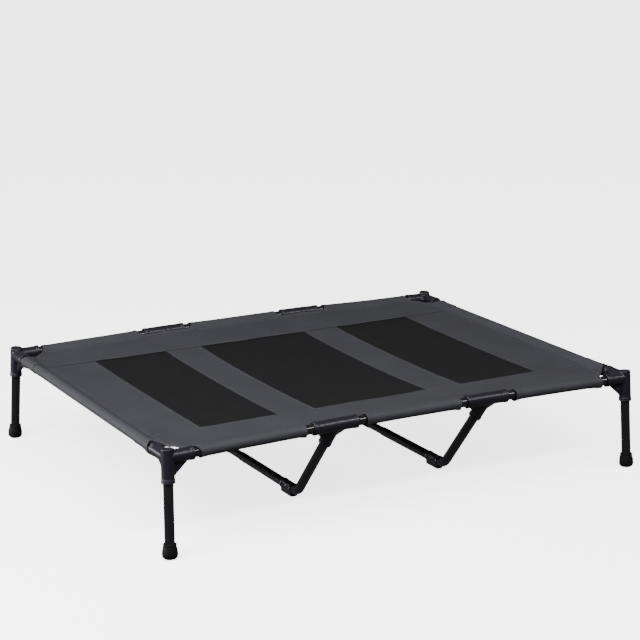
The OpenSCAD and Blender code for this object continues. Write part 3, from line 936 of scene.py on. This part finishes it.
def cap_pattern(fit):
    """The foot cap of the front right leg: a collar, a fluted cone and a round sole, cut level."""
    corner = Vector((HALF_L, -HALF_W, RAIL_Z))
    down = joint_axis("leg_pull_front_right")
    top, foot = fit.cap_top, fit.cap_foot
    start = RAIL_Z / -down.z - fit.cap_height
    # Heights are in millimetres from the collar's rim towards the floor
    collar = [
        (0, top - 1.5 * MM), (0.3, top - 0.6 * MM), (0.9, top - 0.1 * MM), (1.6, top), (3.4, top),
        (4.2, top - 0.4 * MM), (5, top - 0.1 * MM),
    ]
    profile = [(start + h * MM, r) for h, r in collar]
    for h in (8, 11, 14, 17, 20, 22, 24, 26, 27.5, 29, 30, 31, 31.8, 32.4, 32.8):
        belly = top + (foot - top) * math.sin(math.pi / 2 * min(1, (h - 5) / 16))
        sole = 1 - math.sqrt(1 - min(1, max(0.0, (h - 23) / 10)) ** 2)
        profile.append((start + h * MM, belly - 9 * MM * sole))
    cap = turned("cap", profile, sides=96)
    flutes, first, last = 16, 5 * MM, 25 * MM  # how many, and where they begin and end
    for vertex in cap.data.vertices:
        x, y, z = vertex.co
        turn, fade = math.atan2(y, x), min(1, max(0, (z - start - first) / (3 * MM)))
        fade *= min(1, max(0, (start + last - z) / (4 * MM)))
        pull = 1 - fit.flute * fade * (0.5 - 0.5 * math.cos(flutes * turn)) / foot
        vertex.co.x, vertex.co.y = x * pull, y * pull
    aim(cap, corner, down)
    combine(cap, [bore(fit, corner, down, start + 24 * MM)], "DIFFERENCE")
    only(cap)
    bpy.ops.object.mode_set(mode="EDIT")
    bpy.ops.mesh.select_all(action="SELECT")
    bpy.ops.mesh.bisect(plane_co=(0, 0, 0), plane_no=(0, 0, 1), use_fill=True, clear_inner=True)
    bpy.ops.object.mode_set(mode="OBJECT")
    cap.data.shade_smooth()
    only(cap)
    bpy.ops.object.shade_smooth_by_angle(angle=math.radians(40))
    return cap


def place_fittings(kind, pattern, finish, body="cot"):
    """Copies a front right pattern to the cot's four corners."""
    for x, y in CORNERS:
        obj = mirrored(pattern, f"{kind}_moulding_{y}_{x}", SIDE[x], -SIDE[y])
        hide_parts(f"{kind}_{y}_{x}")
        dress(obj, finish, f"leg_{y}_{x}" if body == "leg" else body)
    bpy.data.objects.remove(pattern)


class COT_OT_connectors(bpy.types.Operator):
    """Makes the corner connectors, the tees and the floor couplings"""

    bl_idname = "cot.connectors"
    bl_label = "Connectors"

    def execute(self, context):
        fit = context.scene.cot_fittings
        finish = material("Moulded polypropylene", moulded_polypropylene)
        for kind, make in (("corner_connector", corner_pattern), ("tee_connector", tee_pattern),
                           ("floor_coupling", coupling_pattern)):
            place_fittings(kind, make(fit), finish)
        return {"FINISHED"}


class COT_OT_foot_caps(bpy.types.Operator):
    """Makes the fluted rubber foot caps"""

    bl_idname = "cot.foot_caps"
    bl_label = "Foot caps"

    def execute(self, context):
        finish = material("Moulded rubber", moulded_rubber)
        place_fittings("foot_cap", cap_pattern(context.scene.cot_fittings), finish, "leg")
        return {"FINISHED"}


# ---- Operators: the deck -------------------------------------------------------------

NOTCH_COLUMNS = 9  # columns of the grid round a corner of a tee's cut-out
CUT_COLUMNS = 24  # and round a corner's cut-out
SEAM_ROWS = (4 * MM, 9 * MM)  # rows of stitches beside a sleeve's seam
EDGE_ROW = 4 * MM  # row of stitches inside a turned edge
CUT_ROW = 6.5 * MM  # row of stitches round a cut-out
STITCH_LIFT = 0.3  # how far a stitch's middle stands over the cloth, in radii of the thread


def strip_columns(deck, hand, toward):
    """Columns of a side strip for one half of the cot: unrolled place along it, where its main
    part ends across, and whether a sleeve goes on from there."""
    cloth, sleeve = deck.cloth, deck.sleeve
    long, short, power = deck.cuts[hand, toward]
    crest = sleeve.crest
    columns = []

    def run(xs, ends, sleeved):
        columns.extend((x, end, sleeved) for x, end in zip(xs, ends))

    near, far = TEE_X - cloth.notch_half, TEE_X + cloth.notch_half
    xs = span(0, near, CELL)
    run(xs, crest + 0 * xs, "middle")
    quarter = np.linspace(0, math.pi / 2, NOTCH_COLUMNS)
    xs = near + cloth.notch_run * (1 - np.cos(quarter))
    ends = sleeve.past_seam(cloth.notch_depth * np.sin(quarter))
    run(xs, ends, None)
    flat = span(near + cloth.notch_run, far - cloth.notch_run, CELL)[1:-1]
    run(flat, ends[-1] + 0 * flat, None)
    run((near + far - xs)[::-1], ends[::-1], None)
    xs = span(far, HALF_L - long, CELL)
    run(xs, crest + 0 * xs, "outer")
    turn = np.linspace(0, math.acos((cloth.sleeve_reach / long) ** (power / 2)), CUT_COLUMNS)
    xs = HALF_L - long * np.cos(turn) ** (2 / power)
    run(xs, sleeve.past_seam(short * np.sin(turn) ** (2 / power)), None)
    wrap = span(0, sleeve.end, BEND_CELL)[1:]
    inside, _ = sleeve.place(wrap)
    inside = np.where(wrap < crest, inside, 0)
    edge = short * (1 - (inside / long) ** power) ** (1 / power)
    edge = edge - deck.slants[hand, toward][1] * deck.outer(wrap)
    run(deck.p_seam + wrap, sleeve.past_seam(edge), None)
    return columns


def strip_lift(deck, p, q):
    """Lift of a side strip over the deck's own surface."""
    lap = TURNED_LIFT * (1 - smooth_step((abs(q) - SEAM - TURNED) / STEP))
    return STRIP_LAYER + lap + ripples(p, q) + deck.relief(p, q)


def panel_lift(deck, p, q, edges):
    """Lift of an end panel or a cross strip, with its turned edges along the mesh."""
    hem = 0 * p
    for edge in edges:
        hem = hem + TURNED_LIFT * (1 - smooth_step((abs(p - edge) - TURNED) / STEP))
    pucker = puckers(abs(p) - deck.p_seam, q, *PANEL_PUCKERS)
    return ripples(p, q) + hem + pucker + PANEL_LAYER


class COT_OT_side_strips(bpy.types.Operator):
    """Makes the two long cloth strips with their sleeves"""

    bl_idname = "cot.side_strips"
    bl_label = "Side strips"

    def execute(self, context):
        cloth = context.scene.cot_cloth
        deck = Deck(cloth)
        sleeve = deck.sleeve
        finish = material("Coated oxford cloth", coated_oxford_cloth)
        for side in ("front", "back"):
            piece = Patches(deck)
            toward = SIDE[side]
            for hand in (-1, 1):
                columns = strip_columns(deck, hand, toward)
                p = np.array([c[0] for c in columns])
                top = deck.q_seam + np.array([c[1] for c in columns])
                low = np.minimum(deck.q_seam, top - cloth.hem)[:, None]
                seam = SEAM + waver(hand * p)[:, None]
                field = np.linspace(0, 1, FIELD_ROWS + 1)
                border = np.linspace(0, 1, BORDER_ROWS + 1)[1:]
                q = np.concatenate(
                    [seam + (low - seam) * field, low + (top[:, None] - low) * border], axis=1
                )
                self.patch(piece, np.repeat(p[:, None], q.shape[1], axis=1), q, hand, toward)
                for part in ("middle", "outer"):
                    xs = p[[c[2] == part for c in columns]]
                    w = span(sleeve.crest, sleeve.end, BEND_CELL)
                    pp, q = np.meshgrid(xs, deck.q_seam + w, indexing="ij")
                    if part == "outer":
                        share = (pp - xs[0]) / (xs[-1] - xs[0])
                        pp = pp + share**3 * deck.slants[hand, toward][0] * deck.outer(q - deck.q_seam)
                    self.patch(piece, pp, q, hand, toward)
            obj = piece.build(f"side_strip_cloth_{side}", cloth.thickness)
            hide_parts(f"side_strip_{side}")
            dress(obj, finish, "cot")
        return {"FINISHED"}

    def patch(self, piece, p, q, hand, toward):
        """Adds a patch in one quarter of the cot. Its rows and columns run from left to right and
        from front to back, so that its faces point outwards."""
        p, q = hand * p[::hand, ::toward], toward * q[::hand, ::toward]
        piece.add(p, q, strip_lift(piece.deck, p, q))


class COT_OT_end_panels(bpy.types.Operator):
    """Makes the two cloth end panels with their sleeves"""

    bl_idname = "cot.end_panels"
    bl_label = "End panels"

    def execute(self, context):
        cloth = context.scene.cot_cloth
        deck = Deck(cloth)
        finish = material("Coated oxford cloth", coated_oxford_cloth)
        for side in ("left", "right"):
            hand = SIDE[side]
            inner = abs(MESH_EDGES[0][0] if hand < 0 else MESH_EDGES[2][1])
            wrap = deck.p_seam + span(0, deck.sleeve.end, BEND_CELL)
            xs = joined(span(inner, deck.p_seam, CELL), wrap)
            ys = span(-SEAM - cloth.lap, SEAM + cloth.lap, CELL)
            p, q = np.meshgrid(np.sort(hand * xs), ys, indexing="ij")
            piece = Patches(deck)
            piece.add(p, q, panel_lift(deck, p, q, [hand * inner]))
            obj = piece.build(f"end_panel_cloth_{side}", cloth.thickness)
            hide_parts(f"end_panel_{side}")
            dress(obj, finish, "cot")
        return {"FINISHED"}


def flat_piece(deck, name, xs, reach, thickness, lift):
    """A piece of the deck's middle, with laps under the side strips."""
    ys = span(-reach, reach, CELL)
    p, q = np.meshgrid(xs, ys, indexing="ij")
    piece = Patches(deck)
    piece.add(p, q, lift(p, q))
    return piece.build(name, thickness), (xs[-1] - xs[0], 2 * reach)


def stitch_shape(cloth):
    """Corners and faces of one stitch, a short strand along X."""
    bpy.ops.object.select_all(action="DESELECT")
    bpy.ops.mesh.primitive_uv_sphere_add(segments=6, ring_count=4, radius=cloth.thread)
    ball = bpy.context.object
    points = np.array([v.co for v in ball.data.vertices])[:, [2, 0, 1]]
    points[:, 0] *= cloth.stitch / 2 / cloth.thread
    faces = [list(f.vertices) for f in ball.data.polygons]
    bpy.data.objects.remove(ball)
    return points, faces


def stitched(name, deck, lift, lines):
    """Rows of stitches along lines of unrolled places, on a piece's face."""
    cloth = deck.cloth
    shape, faces = stitch_shape(cloth)
    points, made, first = [], [], 0
    pitch = cloth.stitch + cloth.stitch_gap
    stand = cloth.thread * STITCH_LIFT
    for line in lines:
        p, q = np.asarray(line, float).T
        step = np.concatenate([[0], np.cumsum(np.hypot(np.diff(p), np.diff(q)))])
        if step[-1] < 3 * pitch:
            continue
        at = np.arange(pitch, step[-1] - pitch / 2, pitch)
        pp, qq = np.interp(at, step, p), np.interp(at, step, q)
        ahead = [np.interp(at + 0.5 * MM, step, v) for v in (p, q)]
        here = deck.lifted(pp, qq, lift(pp, qq) + stand)
        along = deck.lifted(*ahead, lift(*ahead) + stand) - here
        along /= np.linalg.norm(along, axis=1, keepdims=True)
        up = deck.normal(pp, qq)
        side = np.cross(up, along)
        side /= np.linalg.norm(side, axis=1, keepdims=True)
        basis = np.stack([along, side, np.cross(along, side)], axis=1)
        placed = here[:, None] + np.einsum("vk,nkx->nvx", shape, basis)
        points.append(placed.reshape(-1, 3))
        for k in range(len(at)):
            made.extend([first + k * len(shape) + v for v in f] for f in faces)
        first += len(at) * len(shape)
    obj = mesh_object(name, np.concatenate(points), made)
    obj.data.shade_smooth()
    return obj


def straight(fixed, start, end, along="p"):
    """A straight line of places, along the cot or across it."""
    run = span(start, end, 2 * MM)
    still = np.full_like(run, fixed)
    return np.stack([run, still] if along == "p" else [still, run], -1)


class COT_OT_stitching(bpy.types.Operator):
    """Sews the deck's seams and turned edges"""

    bl_idname = "cot.stitching"
    bl_label = "Stitching"

    def execute(self, context):
        cloth = context.scene.cot_cloth
        deck = Deck(cloth)
        thread = material("Polyester thread", polyester_thread)
        for side in ("front", "back"):
            obj = stitched(
                f"stitching_side_strip_{side}", deck, lambda p, q: strip_lift(deck, p, q),
                self.strip_lines(deck, SIDE[side]),
            )
            dress(obj, thread, "cot")
        for side in ("left", "right"):
            hand = SIDE[side]
            inner = MESH_EDGES[0][0] if hand < 0 else MESH_EDGES[2][1]
            low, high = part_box(f"cross_strip_{side}")
            seam_rows = [hand * (deck.p_seam - row) for row in SEAM_ROWS]
            for panel, edges, rows in (
                ("end_panel", [inner], [inner + hand * EDGE_ROW, *seam_rows]),
                ("cross_strip", [low.x, high.x], [low.x + EDGE_ROW, high.x - EDGE_ROW]),
            ):
                obj = stitched(
                    f"stitching_{panel}_{side}", deck, lambda p, q: panel_lift(deck, p, q, edges),
                    [straight(row, -SEAM, SEAM, "q") for row in rows],
                )
                dress(obj, thread, "cot")
        return {"FINISHED"}

    def strip_lines(self, deck, toward):
        """Lines of stitches on a side strip: its inner edge, its sleeve seams, and the hems of its
        cut-outs."""
        cloth, sleeve = deck.cloth, deck.sleeve
        edge = straight(0, EDGE_ROW - deck.p_seam, deck.p_seam - EDGE_ROW)
        edge[:, 1] = toward * (SEAM + EDGE_ROW + waver(edge[:, 0]))
        lines = [edge]
        near, far = TEE_X - cloth.notch_half, TEE_X + cloth.notch_half
        for row in SEAM_ROWS:
            q = toward * (deck.q_seam - row)
            lines.append(straight(q, -near, near))
            lines += [straight(q, h * far, h * (HALF_L - deck.cuts[h, toward][0])) for h in (-1, 1)]
        turn = np.linspace(0, math.pi / 2, 40)
        bx = cloth.notch_half - cloth.notch_run + (cloth.notch_run + CUT_ROW) * np.cos(turn)
        by = (cloth.notch_depth + CUT_ROW) * np.sin(turn)
        notch = np.concatenate([TEE_X - bx, (TEE_X + bx)[::-1]])
        notch_q = deck.q_seam + sleeve.past_seam(np.concatenate([by, by[::-1]]))
        crest, end = deck.q_seam + sleeve.crest, deck.q_seam + sleeve.closing
        wrap = span(sleeve.crest, sleeve.closing, 2 * MM)
        for hand in (-1, 1):
            long, short, power = deck.cuts[hand, toward]
            for row in SEAM_ROWS:
                start = toward * (SEAM + SEAM_ROWS[1])
                lines.append(straight(hand * (deck.p_seam - row), start, toward * (HALF_W - short), "q"))
            wide = CUT_ROW * (1 + 0.35 * np.sin(2 * turn))
            ax = (long + wide) * np.cos(turn) ** (2 / power)
            ay = (short + wide) * np.sin(turn) ** (2 / power)
            lines.append(np.stack([hand * (deck.p_seam + sleeve.past_seam(ax)),
                                   toward * (deck.q_seam + sleeve.past_seam(ay))], -1))
            lines.append(np.stack([hand * notch, toward * notch_q], -1))
            for x in (near - CUT_ROW, far + CUT_ROW):
                lines.append(straight(hand * x, toward * crest, toward * end, "q"))
            slants = deck.slants[hand, toward]
            x = HALF_L - long - CUT_ROW + slants[0] * deck.outer(wrap)
            y = HALF_W - short - CUT_ROW + slants[1] * deck.outer(wrap)
            lines.append(np.stack([hand * x, toward * (deck.q_seam + wrap)], -1))
            lines.append(np.stack([hand * (deck.p_seam + wrap), toward * y], -1))
        return lines


class COT_OT_cross_strips(bpy.types.Operator):
    """Makes the two cloth strips between the mesh panels"""

    bl_idname = "cot.cross_strips"
    bl_label = "Cross strips"

    def execute(self, context):
        cloth = context.scene.cot_cloth
        deck = Deck(cloth)
        finish = material("Coated oxford cloth", coated_oxford_cloth)
        for side in ("left", "right"):
            low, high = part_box(f"cross_strip_{side}")
            start, end = low.x + 9 * MM, high.x - 9 * MM
            xs = joined(
                span(low.x, start, 1.5 * MM), span(start, end, CELL), span(end, high.x, 1.5 * MM)
            )
            obj, flat = flat_piece(
                deck, f"cross_strip_cloth_{side}", xs, SEAM + cloth.lap, cloth.thickness,
                lambda p, q: panel_lift(deck, p, q, [low.x, high.x]),
            )
            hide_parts(f"cross_strip_{side}")
            dress(obj, finish, "cot")
        return {"FINISHED"}


class COT_OT_mesh_panels(bpy.types.Operator):
    """Makes the three textile mesh panels"""

    bl_idname = "cot.mesh_panels"
    bl_label = "Mesh panels"

    def execute(self, context):
        cloth = context.scene.cot_cloth
        deck = Deck(cloth)
        finish = material("Textile mesh", textile_mesh)
        for key, (start, end) in zip(("left", "middle", "right"), MESH_EDGES):
            obj, flat = flat_piece(
                deck, f"mesh_panel_textile_{key}", span(start - cloth.lap, end + cloth.lap, CELL),
                SEAM + cloth.lap, cloth.mesh_thickness, lambda p, q: ripples(p, q) + MESH_LAYER,
            )
            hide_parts(f"mesh_panel_{key}")
            dress(obj, finish, "cot")
        return {"FINISHED"}


# ---- Operators: the stage ------------------------------------------------------------

LIGHTS = (
    # name, place, where it points, width, height, watts
    ("Front light", (-1.8, -0.5, 1.6), (-0.7, -0.1, 0.2), 1.2, 1.2, 75),
    ("Left light", (-3.0, 1.5, 0.4), (-0.6, 0.3, 0.2), 2.2, 0.7, 120),
    ("Strip light", (0.7, -2.0, 2.2), (0.7, -0.4, 0.2), 4.4, 0.2, 100),
)


def studio_light(name, place, target, wide, high, power):
    """A rectangular soft light."""
    data = bpy.data.lights.new(name, "AREA")
    data.shape, data.size, data.size_y, data.energy = "RECTANGLE", wide, high, power
    obj = bpy.data.objects.new(name, data)
    obj.location = place
    obj.rotation_mode = "QUATERNION"
    obj.rotation_quaternion = (Vector(target) - Vector(place)).to_track_quat("-Z", "Y")
    bpy.context.scene.collection.objects.link(obj)


def lay_floor(scene):
    """A wide, pale floor."""
    bpy.ops.object.select_all(action="DESELECT")
    bpy.ops.mesh.primitive_plane_add(size=80, location=(0, 0, 0))
    floor = bpy.context.object
    floor.name = floor.data.name = "studio_floor"
    finish, tree = new_material("Studio floor")
    place = node(tree, "ShaderNodeTexCoord").outputs["Object"]
    grain = node(tree, "ShaderNodeTexNoise", {"Vector": place, "Scale": 3.0, "Detail": 2.0})
    level = node(tree, "ShaderNodeMapRange", {
        "Value": grain.outputs["Fac"], "To Min": 0.75, "To Max": 0.8,
    })
    floor.data.materials.append(surfaced(finish, {
        "Base Color": [*scene.cot_finish.floor, 1],
        "Roughness": level.outputs["Result"],
        "Specular IOR Level": 0.1,
        "Emission Color": [1, 1, 1, 1],
        "Emission Strength": 3.0,
    }))
    # Its glow keeps the floor pale, and is kept off the cot
    floor.visible_diffuse = floor.visible_glossy = False


def set_lights(scene):
    """A dim, even studio, a wide softbox overhead and the rectangular lights."""
    world = bpy.data.worlds.new("Studio")
    world.use_nodes = True
    tree = world.node_tree
    tree.nodes.clear()
    sky = node(tree, "ShaderNodeBackground", {"Color": [1, 1, 1, 1], "Strength": 0.16})
    node(tree, "ShaderNodeOutputWorld", {"Surface": sky.outputs["Background"]})
    scene.world = world
    sun = bpy.data.lights.new("Overhead softbox", "SUN")
    sun.energy, sun.angle = 2.2, math.radians(60)
    overhead = bpy.data.objects.new("Overhead softbox", sun)
    overhead.rotation_euler = (math.radians(22), math.radians(-24), 0)
    scene.collection.objects.link(overhead)
    for light in LIGHTS:
        studio_light(*light)


def set_camera(scene):
    """The camera, placed by its turn, height, distance and shift from the cot's middle."""
    view = scene.cot_camera
    turn, rise = view.azimuth, view.elevation
    back = Vector((math.sin(turn) * math.cos(rise), -math.cos(turn) * math.cos(rise), math.sin(rise)))
    right = (-back).cross(Vector((0, 0, 1))).normalized()
    up = right.cross(-back)
    c, s = math.cos(view.roll), math.sin(view.roll)
    right, up = c * right + s * up, c * up - s * right
    place = view.distance * back + view.across * right + view.up * up
    data = bpy.data.cameras.new("Camera")
    data.sensor_width, data.lens, data.clip_end = 36, view.lens, 200
    camera = bpy.data.objects.new("Camera", data)
    camera.matrix_world = Matrix.Translation(place) @ Matrix((right, up, back)).transposed().to_4x4()
    scene.collection.objects.link(camera)
    scene.camera = camera


class COT_OT_stage(bpy.types.Operator):
    """Lays the pale floor, and sets the soft light and the camera"""

    bl_idname = "cot.stage"
    bl_label = "Stage"

    def execute(self, context):
        lay_floor(context.scene)
        set_lights(context.scene)
        set_camera(context.scene)
        return {"FINISHED"}


class COT_PT_panel(bpy.types.Panel):
    """Lists the cot's pieces and their sizes"""

    bl_idname = "COT_PT_panel"
    bl_label = "Raised Pet Cot"
    bl_space_type = "VIEW_3D"
    bl_region_type = "UI"
    bl_category = "Pet Cot"

    def draw(self, context):
        for operator in OPERATORS:
            self.layout.operator(operator.bl_idname)
        for group in (getattr(context.scene, key) for key in GROUPS):
            box = self.layout.box()
            for key in group.bl_rna.properties.keys():
                if key not in {"rna_type", "name"}:
                    box.prop(group, key)


GROUPS = {
    "cot_cloth": CotCloth, "cot_fittings": CotFittings, "cot_finish": CotFinish, "cot_camera": CotCamera,
}
OPERATORS = [
    COT_OT_tubes, COT_OT_connectors, COT_OT_foot_caps, COT_OT_side_strips, COT_OT_end_panels,
    COT_OT_cross_strips, COT_OT_mesh_panels, COT_OT_stitching, COT_OT_stage,
]


def register():
    for cls in [*GROUPS.values(), *OPERATORS, COT_PT_panel]:
        bpy.utils.register_class(cls)
    for key, cls in GROUPS.items():
        setattr(bpy.types.Scene, key, bpy.props.PointerProperty(type=cls))


def unregister():
    for key in GROUPS:
        delattr(bpy.types.Scene, key)
    for cls in reversed([*GROUPS.values(), *OPERATORS, COT_PT_panel]):
        bpy.utils.unregister_class(cls)


def main():
    register()
    for operator in OPERATORS:
        area, name = operator.bl_idname.split(".")
        getattr(getattr(bpy.ops, area), name)()


if __name__ == "__main__":
    main()
